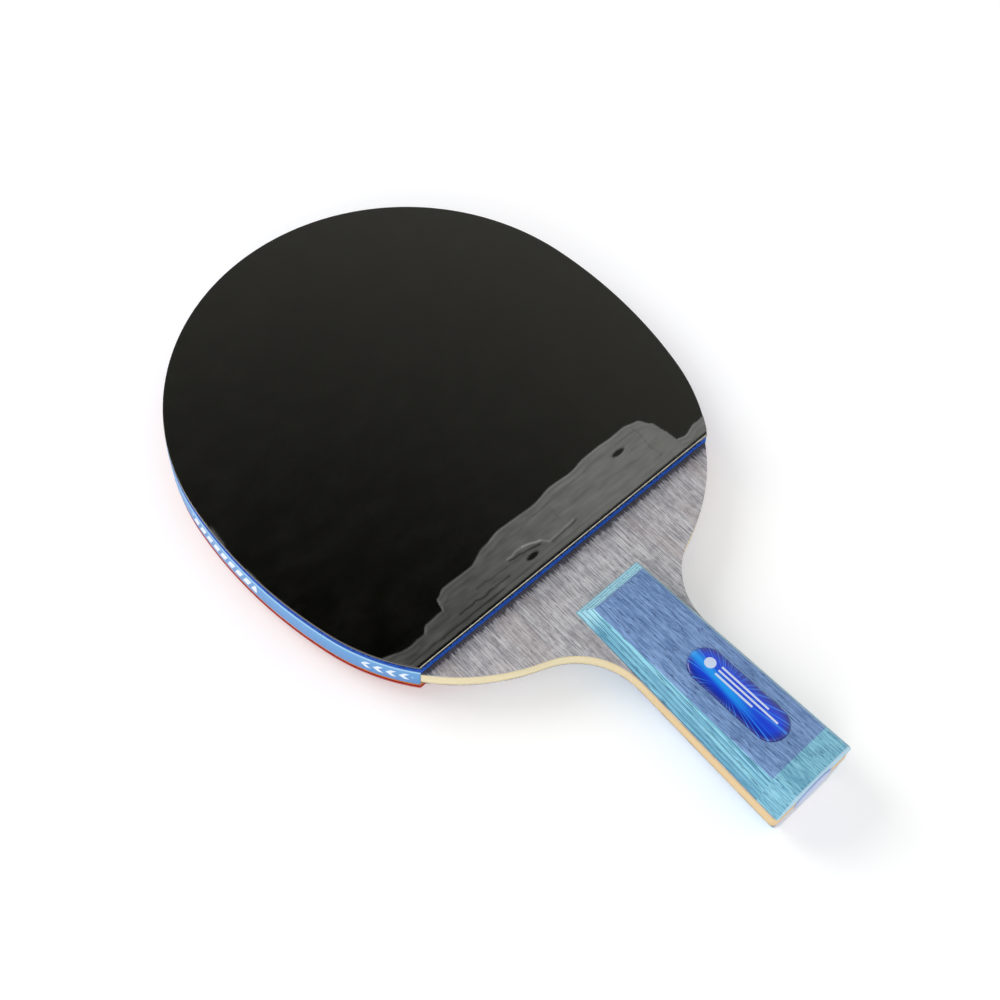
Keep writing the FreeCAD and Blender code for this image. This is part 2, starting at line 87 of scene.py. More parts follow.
class Graph:
    """A material's node tree with short ways to add and join nodes."""

    def __init__(self, name):
        self.material = bpy.data.materials.new(name)
        self.material.use_nodes = True
        self.tree = self.material.node_tree
        self.tree.nodes.clear()
        self.output = self.add("ShaderNodeOutputMaterial")

    def add(self, kind, **settings):
        made = self.tree.nodes.new(kind)
        for key, value in settings.items():
            setattr(made, key, value)
        return made

    def feed(self, socket, value):
        if isinstance(value, bpy.types.NodeSocket):
            self.tree.links.new(value, socket)
        elif value is not None:
            socket.default_value = value

    def coords(self, scale=(1, 1, 1), shift=(0, 0, 0)):
        texture = self.add("ShaderNodeTexCoord")
        mapping = self.add("ShaderNodeMapping")
        self.feed(mapping.inputs["Vector"], texture.outputs["Object"])
        mapping.inputs["Scale"].default_value = scale
        mapping.inputs["Location"].default_value = shift
        return mapping.outputs["Vector"]

    def axes(self, vector=None):
        split = self.add("ShaderNodeSeparateXYZ")
        self.feed(split.inputs[0], vector if vector else self.coords())
        return split.outputs

    def noise(self, vector, scale=1.0, detail=3.0, roughness=0.55, distortion=0.0):
        made = self.add("ShaderNodeTexNoise")
        self.feed(made.inputs["Vector"], vector)
        made.inputs["Scale"].default_value = scale
        made.inputs["Detail"].default_value = detail
        made.inputs["Roughness"].default_value = roughness
        made.inputs["Distortion"].default_value = distortion
        return made.outputs["Fac"]

    def cells(self, vector, scale=1.0):
        """Distance to the nearest of a scatter of points."""
        made = self.add("ShaderNodeTexVoronoi")
        self.feed(made.inputs["Vector"], vector)
        made.inputs["Scale"].default_value = scale
        return made.outputs["Distance"]

    def math(self, operation, a, b=None, clamp=False):
        made = self.add("ShaderNodeMath", operation=operation, use_clamp=clamp)
        for socket, value in zip(made.inputs, (a, b)):
            self.feed(socket, value)
        return made.outputs[0]

    def times(self, value, factor):
        return self.math("MULTIPLY", value, factor)

    def away(self, value, middle):
        """Distance of a value from a middle one."""
        return self.math("ABSOLUTE", self.math("SUBTRACT", value, middle))

    def about(self, value, middle, factor):
        """Signed offset from a middle value, times a factor."""
        return self.times(self.math("SUBTRACT", value, middle), factor)

    def length(self, a, b):
        squares = [self.math("POWER", leg, 2.0) for leg in (a, b)]
        return self.math("SQRT", self.math("ADD", *squares))

    def step(self, value, low, high, to_low=0.0, to_high=1.0):
        """Smooth step of a value from low to high, or high to low when they are swapped."""
        made = self.add("ShaderNodeMapRange", interpolation_type="SMOOTHSTEP")
        if low > high:
            low, high, to_low, to_high = high, low, to_high, to_low
        for index, number in enumerate((value, low, high, to_low, to_high)):
            self.feed(made.inputs[index], number)
        return made.outputs[0]

    def band(self, value, low, high, soft):
        """One between low and high, falling to nothing over a soft margin inside each end."""
        return self.times(self.step(value, low, low + soft), self.step(value, high, high - soft))

    def all_of(self, first, *others):
        for other in others:
            first = self.times(first, other)
        return first

    def mix(self, factor, a, b):
        made = self.add("ShaderNodeMix", data_type="RGBA")
        self.feed(made.inputs[0], factor)
        self.feed(made.inputs[6], a)
        self.feed(made.inputs[7], b)
        return made.outputs[2]

    def bump(self, height, distance, strength):
        made = self.add("ShaderNodeBump")
        made.inputs["Strength"].default_value = strength
        made.inputs["Distance"].default_value = distance
        self.feed(made.inputs["Height"], height)
        return made.outputs[0]

    def shader(self, color, roughness, normal=None, **numbers):
        """Principled surface; further sockets are named with underscores for spaces."""
        made = self.add("ShaderNodeBsdfPrincipled")
        self.feed(made.inputs["Base Color"], color)
        self.feed(made.inputs["Roughness"], roughness)
        self.feed(made.inputs["Normal"], normal)
        for key, value in numbers.items():
            made.inputs[key.replace("_", " ")].default_value = value
        return made.outputs[0]

    def finish(self, surface):
        self.tree.links.new(surface, self.output.inputs["Surface"])
        return self.material


def srgb(red, green, blue):
    """Linear colour from 0-255 display values."""
    def linear(c):
        c /= 255.0
        return c / 12.92 if c <= 0.04045 else ((c + 0.055) / 1.055) ** 2.4
    return (linear(red), linear(green), linear(blue), 1.0)


# ---------------------------------------------------------------- materials

def veneer(name, pale, deep, pore, end=None):
    """Dyed wood with fine grain, drifting patches and short dark dashes along Y.

    end holds the colours of the butt's end face on the front and on the rear half.
    """
    g = Graph(name)
    streak = g.noise(g.coords((2600, 85, 2600)), detail=4, roughness=0.7)
    broad = g.noise(g.coords((170, 50, 170), (3, 1, 2)), detail=2)
    grain = g.math("ADD", g.times(streak, 0.8), g.times(broad, 0.2))
    color = g.mix(g.step(grain, 0.42, 0.58), deep, pale)
    dashes = g.noise(g.coords((3600, 280, 3600), (7, 5, 3)), detail=2, roughness=0.6)
    pores = g.step(dashes, 0.58, 0.66)
    color = g.mix(g.times(pores, 0.8), color, pore)
    # Painted highlight: short pale glints along the grain, drawn into the colour.
    glints = g.noise(g.coords((4600, 260, 4600), (1, 9, 4)), detail=1)
    color = g.mix(g.step(glints, 0.62, 0.72, 0.0, 0.35), color, pale)
    if end:
        y, z = g.axes()[1], g.axes()[2]
        front, rear = end
        shade = g.mix(g.step(z, (MID - 3.0) * MM, (MID + 3.0) * MM), rear, front)
        color = g.mix(g.step(y, (BUTT_Y + 0.45) * MM, (BUTT_Y + 0.15) * MM), color, shade)
    height = g.math("SUBTRACT", g.times(streak, 0.5), pores)
    rough = g.step(grain, 0.3, 0.7, 0.56, 0.44)
    return g.finish(g.shader(color, rough, g.bump(height, 0.00005, 0.5), Specular_IOR_Level=0.35))


def grey_veneer():
    """Dyed grey face ply: fine pores along Y, pale flecks, and a dark frayed stain with painted shade
    beside the rubber.
    """
    g = Graph("grey_veneer")
    streak = g.noise(g.coords((3300, 110, 3300)), detail=5, roughness=0.75)
    figure = g.noise(g.coords((110, 190, 110), (2, 4, 1)), detail=3, distortion=0.8)
    tone = g.math("ADD", g.times(streak, 0.8), g.times(figure, 0.2))
    color = g.mix(g.step(tone, 0.42, 0.58), srgb(140, 138, 142), srgb(202, 200, 202))
    warm = g.noise(g.coords((220, 40, 220), (9, 2, 5)), detail=2)
    color = g.mix(g.step(warm, 0.5, 0.7, 0.0, 0.35), color, srgb(172, 158, 156))
    flecks = g.noise(g.coords((3400, 210, 3400), (5, 5, 9)), detail=2)
    color = g.mix(g.step(flecks, 0.60, 0.70, 0.0, 0.6), color, srgb(218, 214, 212))
    dashes = g.noise(g.coords((4200, 380, 4200), (1, 8, 3)), detail=2)
    pores = g.step(dashes, 0.58, 0.68)
    color = g.mix(g.times(pores, 0.6), color, srgb(88, 84, 90))
    y = g.axes()[1]
    # A dark frayed band beside the rubber: partly a stain along the grain, partly painted shade from
    # the rubber's edge.
    fray = g.noise(g.coords((1500, 120, 1500), (4, 1, 7)), detail=3, roughness=0.7)
    reach = g.math("ADD", y, g.about(fray, 0.5, 5.8 * MM))
    stain_and_shade = g.step(reach, (CUT_Y - 2.2) * MM, (CUT_Y - 1.0) * MM)
    color = g.mix(g.times(stain_and_shade, 0.85), color, srgb(44, 38, 44))
    height = g.math("SUBTRACT", g.times(streak, 0.5), pores)
    return g.finish(g.shader(color, 0.62, g.bump(height, 0.00005, 0.5), Specular_IOR_Level=0.3))


def bare_wood(name, neck, tang):
    """Sanded edge of pale wood, warmer towards the tang, with end-grain flecks."""
    g = Graph(name)
    y = g.axes()[1]
    body = g.mix(g.step(y, -0.045, -0.085), neck, tang)
    layers = g.noise(g.coords((60, 60, 5200)), detail=3, roughness=0.7)
    color = g.mix(g.step(layers, 0.35, 0.65, 0.0, 0.30), body, srgb(205, 165, 105))
    flecks = g.noise(g.coords((900, 900, 4200), (4, 4, 4)), detail=2)
    color = g.mix(g.step(flecks, 0.62, 0.74, 0.0, 0.35), color, srgb(150, 108, 62))
    return g.finish(g.shader(color, 0.6, g.bump(layers, 0.00004, 0.4), Specular_IOR_Level=0.3))


def sponge(name, color, shade):
    """Cellular rubber: tiny open cells, dark dimples that are partly painted shade of the pips, and
    bands of painted shade by the blade and the sheet.
    """
    g = Graph(name)
    cell = g.cells(g.coords(), 4200)
    dimples = g.cells(g.coords((700, 700, 1500), (2, 3, 1)))
    out = g.away(g.axes()[2], MID * MM)
    dark = g.mix(0.65, shade, (0.0, 0.0, 0.01, 1))
    mixed = g.mix(g.step(cell, 0.35, 0.75), shade, color)
    # Dark dimples: partly the sponge's own pits, partly painted shade of the pips above.
    mixed = g.mix(g.step(dimples, 0.40, 0.20, 0.0, 0.7), mixed, dark)
    # Painted shade: dark bands just below the sponge's top, under the pips, and just above the blade.
    seam = g.math("MAXIMUM", g.band(out, 4.3 * MM, 4.8 * MM, 0.1 * MM), g.step(out, 3.4 * MM, 3.2 * MM))
    mixed = g.mix(g.times(seam, 0.8), mixed, dark)
    return g.finish(g.shader(mixed, 0.75, g.bump(cell, 0.00008, 0.6), Specular_IOR_Level=0.2))


def sheet_rubber(name, color, haze):
    """Smooth rubber under film that is stuck down flat: glossy, with faint rub marks."""
    g = Graph(name)
    smear = g.noise(g.coords((90, 160, 90)), detail=4)
    fine = g.noise(g.coords(), 5200, detail=2)
    mixed = g.mix(g.step(smear, 0.4, 0.75, 0.0, 0.35), color, haze)
    rough = g.step(smear, 0.3, 0.7, 0.12, 0.18)
    return g.finish(g.shader(mixed, rough, g.bump(fine, 0.00001, 0.04), Specular_IOR_Level=0.82,
                             Specular_Tint=(1.0, 0.98, 0.90, 1)))


def film_material(name):
    """Clear film: see-through where it is stuck, milky grey where it has lifted.

    The mesh holds how far it has lifted and how pale it is there; that paleness holds painted
    reflection, painted highlights and painted shade. The gloss of the stuck film is in the rubber under
    it.
    """
    g = Graph(name)
    lift = g.add("ShaderNodeAttribute", attribute_name="lift").outputs["Fac"]
    tone = g.add("ShaderNodeAttribute", attribute_name="tone").outputs["Fac"]
    fold = g.noise(g.coords((80, 520, 80), (1, 2, 3)), detail=3, distortion=0.6)
    shade = g.math("ADD", tone, g.about(fold, 0.5, 0.22))
    grey = g.mix(g.math("ADD", shade, 0.0, clamp=True), srgb(46, 47, 43), srgb(166, 166, 162))
    # Painted highlight: the film's cut edge, where tone is near one, is drawn near white.
    grey = g.mix(g.step(tone, 0.85, 0.95), grey, srgb(222, 218, 202))
    speck = g.step(g.cells(g.coords((1, 1, 0)), 62), 0.020, 0.012)
    body = g.mix(g.times(speck, 0.6), grey, srgb(196, 190, 176))
    relief = g.bump(g.times(fold, lift), 0.0002, 0.5)
    milky = g.shader(body, g.step(lift, 0.0, 1.0, 0.16, 0.34), relief, Specular_IOR_Level=0.3)
    clear = g.add("ShaderNodeBsdfTransparent")
    clear.inputs[0].default_value = (0.97, 0.97, 0.96, 1)
    cover = g.add("ShaderNodeMixShader")
    g.feed(cover.inputs[0], g.math("MAXIMUM", g.times(lift, 0.95), g.times(speck, 0.3)))
    g.feed(cover.inputs[1], clear.outputs[0])
    g.feed(cover.inputs[2], milky)
    return g.finish(cover.outputs[0])


def tape_material():
    """Satin blue edge tape, printed at intervals with white bars and with a row of chevrons.

    u runs along the rim from the left cut end and v up the tape's width, in metres.
    """
    g = Graph("edge_tape")
    uv = g.add("ShaderNodeUVMap", uv_map="along")
    u, v, _ = g.axes(uv.outputs[0])
    repeat, bar_pitch, chevron_pitch = 104.0 * MM, 3.6 * MM, 3.8 * MM
    ink_edge, print_edge = 0.2 * MM, 0.3 * MM
    color = g.mix(g.step(v, 0.0, 7.3 * MM), srgb(68, 134, 200), srgb(88, 155, 214))
    # Painted highlight: a pale band along the tape's upper edge.
    color = g.mix(g.step(v, 7.0 * MM, 7.5 * MM), color, srgb(160, 206, 236))
    place = g.math("MODULO", u, repeat)
    tooth = g.math("MODULO", g.math("ADD", u, g.about(v, 4.0 * MM, 0.5)), bar_pitch)
    bars = g.all_of(g.band(tooth, 0.6 * MM, 3.1 * MM, ink_edge),
                    g.band(v, 1.6 * MM, 6.2 * MM, print_edge),
                    g.band(place, 55.2 * MM, 87.2 * MM, print_edge))
    bent = g.times(g.away(v, 3.9 * MM), 0.9)
    arrow = g.math("MODULO", g.math("ADD", u, bent), chevron_pitch)
    chevrons = g.all_of(g.band(arrow, 0.8 * MM, 2.6 * MM, ink_edge),
                        g.band(v, 2.0 * MM, 5.8 * MM, print_edge),
                        g.band(place, 2.0 * MM, 17.5 * MM, print_edge))
    wear = g.noise(g.coords(), 1400, detail=3)
    mark = g.times(g.math("MAXIMUM", bars, chevrons), g.step(wear, 0.25, 0.5, 0.6, 0.92))
    color = g.mix(mark, color, srgb(236, 244, 255))
    scuff = g.noise(g.coords((400, 400, 90), (3, 3, 3)), detail=4)
    color = g.mix(g.step(scuff, 0.58, 0.75, 0.0, 0.25), color, srgb(132, 182, 226))
    rough = g.step(wear, 0.3, 0.7, 0.34, 0.46)
    return g.finish(g.shader(color, rough, g.bump(wear, 0.00002, 0.4), Specular_IOR_Level=0.4))


def laminate(name, bright, deep, line):
    """Dyed laminated wood: contour lines where its sanded flanks cross the layers.

    It has painted shade below the waist of the flank and a painted highlight on the slope at the blade
    end.
    """
    g = Graph(name)
    half_blade, waist_start, waist_slope = 3.0 * MM, 2.4 * MM, 0.025
    layer, line_wide, line_edge = 1.4 * MM, 0.34 * MM, 0.1 * MM
    _, y, z = g.axes()
    rise = g.math("SUBTRACT", g.away(z, MID * MM), half_blade)
    along = g.math("SUBTRACT", GRIP_START * MM, y)
    waist = g.math("ADD", waist_start, g.times(along, waist_slope))
    low = g.step(g.math("SUBTRACT", rise, waist), 0.3 * MM, -0.3 * MM)
    wave = g.noise(g.coords((60, 24, 60)), detail=2)
    level = g.math("ADD", rise, g.about(wave, 0.5, 0.7 * MM))
    seam = g.band(g.math("MODULO", level, layer), 0.0, line_wide, line_edge)
    streak = g.noise(g.coords((260, 26, 2600)), detail=4, roughness=0.7)
    color = g.mix(g.step(streak, 0.38, 0.62), deep, bright)
    # Painted shade: the flank below the waist is darkened towards the deep colour.
    color = g.mix(g.times(low, 0.35), color, deep)
    # Painted highlight: the slope at the blade end is drawn pale.
    slope = g.step(along, 9.95 * MM, 3.95 * MM, 0.0, 0.7)
    color = g.mix(slope, color, srgb(186, 240, 252))
    color = g.mix(g.times(seam, 0.72), color, line)
    dashes = g.noise(g.coords((1600, 150, 4200), (3, 1, 6)), detail=2)
    pores = g.step(dashes, 0.57, 0.64)
    color = g.mix(g.times(pores, 0.8), color, line)
    height = g.math("SUBTRACT", g.times(streak, 0.4), g.math("MAXIMUM", pores, seam))
    return g.finish(g.shader(color, 0.45, g.bump(height, 0.00005, 0.5), Specular_IOR_Level=0.35))


def badge_material():
    """Rays of light blue on deep blue with a plain ball-and-trail motif, under a clear dome."""
    ray_x, ray_y = -1.4 * MM, -86.0 * MM
    ball_x, ball_y = 1.0 * MM, -78.2 * MM
    trail_top, trail_half = -81.2 * MM, 0.36 * MM
    trails = ((2.4, -98.5), (1.0, -103.0), (-0.4, -95.0))
    g = Graph("blue_badge")
    x, y, _ = g.axes()
    across = g.math("SUBTRACT", x, ray_x)
    down = g.math("SUBTRACT", ray_y, y)
    fan = g.add("ShaderNodeCombineXYZ")
    g.feed(fan.inputs[0], g.times(g.math("ARCTAN2", across, down), 3.0))
    rays = g.step(g.noise(fan.outputs[0], 5.0, detail=2, roughness=0.7), 0.50, 0.60)
    rays = g.times(rays, g.step(g.length(across, down), 2.0 * MM, 7.0 * MM))
    sweep = g.math("ABSOLUTE", g.math("ADD", across, g.times(down, 0.10)))
    glow = g.times(g.step(sweep, 2.1 * MM, 0.2 * MM), g.step(down, 14.0 * MM, 1.0 * MM))
    past = g.math("SUBTRACT", g.away(y, BADGE_Y * MM), BADGE_GAP * MM)
    rim = g.length(x, g.math("MAXIMUM", past, 0.0))
    color = g.mix(g.step(rim, 2.5 * MM, 5.4 * MM), srgb(10, 62, 214), srgb(4, 26, 138))
    color = g.mix(g.times(rays, 0.75), color, srgb(52, 140, 246))
    color = g.mix(g.times(glow, 0.85), color, srgb(20, 162, 250))
    ball = g.length(g.math("SUBTRACT", x, ball_x), g.math("SUBTRACT", y, ball_y))
    motif = g.step(ball, 1.8 * MM, 1.6 * MM)
    for place, start in trails:
        middle = place * MM
        trail = g.all_of(g.band(x, middle - trail_half, middle + trail_half, 0.1 * MM),
                         g.band(y, start * MM, trail_top, 0.2 * MM))
        motif = g.math("MAXIMUM", motif, trail)
    color = g.mix(g.times(motif, 0.92), color, srgb(214, 226, 246))
    grain = g.noise(g.coords(), 6000, detail=1)
    return g.finish(g.shader(color, g.step(grain, 0.3, 0.7, 0.32, 0.4), Coat_Weight=1.0,
                             Coat_Roughness=0.04, Coat_IOR=1.5, Specular_IOR_Level=0.4))


def lens_material():
    """Pale lavender badge with a deeper ring near its rim and a silky drift."""
    g = Graph("lavender_badge")
    x, _, z = g.axes()
    ring = g.length(x, g.math("SUBTRACT", z, MID * MM))
    color = g.mix(g.step(ring, 5.6 * MM, 6.4 * MM), srgb(170, 185, 224), srgb(145, 164, 215))
    silk = g.noise(g.coords((500, 500, 90)), detail=3)
    color = g.mix(g.step(silk, 0.4, 0.7, 0.0, 0.3), color, srgb(192, 209, 234))
    return g.finish(g.shader(color, 0.35, Coat_Weight=0.2, Coat_Roughness=0.05,
                             Specular_IOR_Level=0.2))


def floor_material():
    """Plain pale floor, faintly mottled, with a little light of its own."""
    g = Graph("studio_floor")
    mottled = g.noise(g.coords(), 9, detail=2)
    color = g.mix(g.step(mottled, 0.3, 0.7, 0.0, 0.4), (0.90, 0.90, 0.90, 1), (0.87, 0.87, 0.87, 1))
    return g.finish(g.shader(color, 0.85, Specular_IOR_Level=0.1,
                             Emission_Color=(1.0, 1.0, 1.0, 1), Emission_Strength=0.23))


# ---------------------------------------------------------------- meshes

def make_object(name, vertices, faces, material, smooth=True):
    """Object in the scene from vertices in mm."""
    mesh = bpy.data.meshes.new(name)
    mesh.from_pydata([tuple(c * MM for c in v) for v in vertices], [], faces)
    mesh.validate()
    for polygon in mesh.polygons:
        polygon.use_smooth = smooth
    mesh.materials.append(material)
    made = bpy.data.objects.new(name, mesh)
    bpy.context.scene.collection.objects.link(made)
    return made


def heading(start, end):
    """Angle of the line from one point to another."""
    return math.atan2(end[1] - start[1], end[0] - start[0])


def half_width(y):
    """Half width of the head at a given Y."""
    top = HEAD[0][1] + HEAD[1] * math.sin(heading(SIDE[0], HEAD[0]))
    low = SIDE[0][1] + SIDE[1] * math.sin(heading(SIDE[0], CORNER[0]))
    centre, radius = HEAD if y > top else SIDE if y > low else CORNER
    return centre[0] + math.sqrt(max(radius ** 2 - (y - centre[1]) ** 2, 0.0))


def soft_step(value, low, high):
    """Smooth step from 0 at low to 1 at high."""
    t = min(max((value - low) / (high - low), 0.0), 1.0)
    return t * t * (3 - 2 * t)


def drift(a, b, c):
    """Smooth noise about nought, the same at every run."""
    return noise.noise(Vector((a, b, c)))


# Height of the lifted patch of film above the cut line, as (x, height) in mm.
LIFTED = [
    (-66, 9.5), (-55, 7.0), (-51, 7.2), (-48, 9.3), (-42, 9.4), (-40.5, 13.2), (-37, 14.5),
    (-27, 14.4), (-19, 16.8), (-12, 18.0), (0, 17.4), (9, 18.5), (18, 18.3), (26, 19.2),
    (40, 19.0), (45, 18.0), (48, 14.5), (49.2, 9.5), (49.6, 5.2), (52.5, 4.5), (58, 5.8),
    (66, 6.2),
]


def lifted_height(x):
    """Height of the lifted patch at a given X, eased from one listed place to the next."""
    for (x0, h0), (x1, h1) in zip(LIFTED, LIFTED[1:]):
        if x <= x1:
            return h0 + (h1 - h0) * soft_step(x, x0, x1)
    return LIFTED[-1][1]


def ellipse_inside(x, y, centre, radii):
    """One in the middle of an ellipse, falling to nought just outside it."""
    reach = math.hypot((x - centre[0]) / radii[0], (y - centre[1]) / radii[1])
    return 1.0 - soft_step(reach, 0.65, 1.2)


def line_distance(x, y, start, end):
    """Distance of a point from a line between two ends."""
    run, rise = end[0] - start[0], end[1] - start[1]
    t = ((x - start[0]) * run + (y - start[1]) * rise) / (run * run + rise * rise)
    t = min(max(t, 0.0), 1.0)
    return math.hypot(x - start[0] - t * run, y - start[1] - t * rise)


def ridge(distance, width):
    """Bell curve: one on the line, falling off over a width."""
    return math.exp(-(distance / width) ** 2)


# Creases in the lifted film: two ends (mm), painted shade added (painted highlight where positive) and
# half width (mm).
CREASES = [
    ((-17.4, -15.8), (-10.8, -16.0), 0.30, 0.22), ((-10.8, -16.0), (-5.7, -17.8), 0.55, 0.24),
    ((-5.7, -17.8), (-4.0, -19.8), 0.30, 0.24), ((-4.0, -19.8), (6.4, -19.1), 0.22, 0.22),
    ((-17.0, -16.6), (-6.5, -18.6), -0.24, 0.40), ((-3.0, -20.5), (7.0, -19.9), -0.20, 0.35),
    ((-39.0, -20.0), (-20.1, -20.4), -0.22, 0.28), ((-30.0, -17.2), (-12.0, -18.2), -0.12, 0.3),
    ((42.1, -7.8), (42.0, -21.0), -0.10, 0.25), ((20.0, -9.6), (41.5, -9.3), -0.08, 0.25),
    ((-2.0, -10.6), (16.0, -9.8), -0.08, 0.25), ((14.0, -14.5), (36.0, -17.5), -0.05, 0.5),
    ((-52.0, -22.2), (-24.0, -22.4), -0.14, 0.3), ((4.0, -12.0), (3.4, -18.0), -0.06, 0.3),
]

# Small spots (centre and radii, mm): lifted ones at the left rim, stuck ones in the patch.
LIFTED_SPOTS = (((-74.4, 45.7), (0.6, 3.0)), ((-74.6, 28.0), (0.5, 1.2)))
STUCK_SPOTS = (((32.8, -11.5), (2.8, 0.95)), ((-10.7, -20.0), (2.6, 1.0)))

# Film that lies flat: cover, rise (mm) and tone. The cut edge is a strip of painted highlight this wide
# (mm).
STUCK = (0.0, 0.0, 0.3)
CUT_EDGE = 0.28


def cut_edge_state(x):
    """State of the film's cut edge: a painted highlight, whole in some places and thin in others."""
    cover = 0.62 + 0.5 * drift(x * 0.6, 3.0, 1.0)
    return min(max(cover, 0.2), 1.0), 0.02, 0.95


def bead_shade(x, within):
    """Painted highlight and painted shade in lines that follow the patch's upper edge, stronger to the
    right.
    """
    strength = 0.35 + 0.45 * soft_step(x, -30.0, 20.0) + 0.5 * drift(x * 0.11, 8.0, 2.0)
    upper = 0.16 * ridge(within - 0.5, 0.4) - 0.08 * ridge(within - 1.3, 0.5)
    lower = 0.05 * ridge(within - 2.2, 0.7) - 0.08 * ridge(within - 3.1, 0.35)
    return strength * upper + strength * lower


def bent(x, y):
    """A point moved a little by noise, so that the creases wave."""
    x += 0.7 * drift(x * 0.3, y * 0.3, 9.0)
    return x, y + 0.5 * drift(x * 0.35, y * 0.35, 11.0)


def crease_shade(x, y, up):
    """Painted highlights and painted shade on the creases, and painted shade of a fold along the cut on
    the left.
    """
    fold = -0.12 * ridge(up - 2.6, 0.25) * (1 - soft_step(x, 5.0, 25.0))
    return fold + sum(amount * ridge(line_distance(x, y, start, end), width)
                      for start, end, amount, width in CREASES)


def film_state(x, y):
    """State of the front film at a point: cover 0-1, rise in mm, and tone 0-1."""
    up = y - CUT_Y
    if up < CUT_EDGE:
        return cut_edge_state(x)
    within = lifted_height(x) + 0.45 * drift(x * 0.16, 1.0, 1.0) - up
    cover = soft_step(within, 0.0, 0.7) * soft_step(up, 0.85, 1.35)
    for spot in LIFTED_SPOTS:
        cover = max(cover, ellipse_inside(x, y, *spot))
    if cover <= 0.0:
        return STUCK
    for spot in STUCK_SPOTS:
        cover *= 1.0 - ellipse_inside(x, y, *spot)
    # Painted reflection: the lifted film is drawn paler towards the right.
    tone = 0.10 + 0.25 * soft_step(x, -56.0, 34.0)
    bent_x, bent_y = bent(x, y)
    shade = bead_shade(x, within) + 0.06 * drift(x * 0.22, y * 0.7, 6.0)
    shade += crease_shade(bent_x, bent_y, up)
    puff = max(min(within, up, 1.6), 0.0) / 1.6
    rise = 0.30 * puff + 0.10 * drift(bent_x * 0.12, bent_y * 0.5, 4.0)
    return cover, cover * max(rise + 0.35 * shade, 0.02), min(max(tone + shade, 0.0), 1.0)


def film_rows(patch_step):
    """Rows of a film's mesh in Y: close together at the cut edge, in the patch and at the tip."""
    patch_reach, plain_step, tip_step = 21.0, 4.4, 2.2
    rows = [CUT_Y + up for up in (0.01, 0.14, 0.27, 0.32, 0.6, 0.85, 1.1, 1.35)]
    while rows[-1] < CUT_Y + patch_reach:
        rows.append(rows[-1] + patch_step)
    while rows[-1] < TIP_Y - 4.0:
        rows.append(rows[-1] + (plain_step if rows[-1] < TIP_Y - 22.0 else tip_step))
    return rows + [TIP_Y - down for down in (2.2, 1.1, 0.4, 0.08)]


def build_film(name, material, side):
    """Protective film over one face; the front one is fine-meshed where it has lifted."""
    lifted = side > 0
    clear, thickness, rim_inset = 0.07, 0.05, 0.02
    rows = film_rows(0.27 if lifted else 3.0)
    columns = 320 if lifted else 48
    vertices, lift, tones = [], [], []
    for y in rows:
        reach = half_width(y) - rim_inset
        for i in range(columns + 1):
            x = reach * (2.0 * i / columns - 1.0)
            cover, rise, tone = film_state(x, y) if lifted else STUCK
            vertices.append((x, y, MID + side * (SHEET_TOP + clear + rise)))
            lift.append(cover)
            tones.append(tone)
    width = columns + 1
    faces = [(r * width + c, r * width + c + 1, (r + 1) * width + c + 1, (r + 1) * width + c)[::side]
             for r in range(len(rows) - 1) for c in range(columns)]
    film = make_object(name, vertices, faces, material)
    for label, values in (("lift", lift), ("tone", tones)):
        layer = film.data.attributes.new(label, "FLOAT", "POINT")
        layer.data.foreach_set("value", values)
    solid = film.modifiers.new("thickness", "SOLIDIFY")
    solid.thickness = thickness * MM
    solid.offset = 1.0
    return film


def rim_path():
    """Points and outward directions round the head, from the right cut end to the left."""
    steps_per_mm = 420 / 440.0
    top, low = heading(SIDE[0], HEAD[0]), heading(SIDE[0], CORNER[0])
    end = math.asin((CUT_Y - CORNER[0][1]) / CORNER[1])
    half = []
    for (centre, radius), start, stop in (
            (CORNER, end, low), (SIDE, low, top), (HEAD, top, math.pi / 2)):
        steps = max(int(steps_per_mm * radius * (stop - start)), 4)
        for i in range(steps):
            angle = start + (stop - start) * i / steps
            half.append((centre, radius, angle))
    half.append((*HEAD, math.pi / 2))
    right = [((c[0] + r * math.cos(a), c[1] + r * math.sin(a)), (math.cos(a), math.sin(a)))
             for c, r, a in half]
    left = [((-p[0], p[1]), (-d[0], d[1])) for p, d in reversed(right[:-1])]
    return right + left


def build_tape(material):
    """Edge tape: a slightly uneven hand-laid band wrapped round the rim."""
    inner, shoulder, waver_size, ripple_size = 0.01, 0.16, 0.12, 0.018
    low = MID - TAPE_WIDE / 2
    path = rim_path()
    lower = [(inner, 0.0), (shoulder, 0.03), (TAPE_THICK, 0.3)]
    upper = [(out, TAPE_WIDE - up) for out, up in reversed(lower)]
    profile = lower + [(TAPE_THICK + 0.005, TAPE_WIDE / 2)] + upper
    vertices, spans, run = [], [], 0.0
    for index, (point, out) in enumerate(path):
        if index:
            run += math.dist(point, path[index - 1][0])
        waver = waver_size * drift(run * 0.035, 2.0, 7.0)
        ripple = ripple_size * drift(run * 0.22, 5.0, 1.0)
        for spread, up in profile:
            off = max(spread + (ripple if spread > inner else 0.0), inner)
            level = low + up + waver * (up / TAPE_WIDE)
            vertices.append((point[0] + out[0] * off, point[1] + out[1] * off, level))
            spans.append((run * MM, up * MM))
    size = len(profile)
    faces = []
    for i in range(len(path) - 1):
        for j in range(size):
            k = (j + 1) % size
            faces.append((i * size + j, i * size + k, (i + 1) * size + k, (i + 1) * size + j))
    faces += [tuple(range(size))[::-1], tuple((len(path) - 1) * size + j for j in range(size))]
    tape = make_object("tape_wrap", vertices, faces, material)
    layer = tape.data.uv_layers.new(name="along")
    for loop in tape.data.loops:
        along, up = spans[loop.vertex_index]
        layer.data[loop.index].uv = (run * MM - along, up)
    return tape


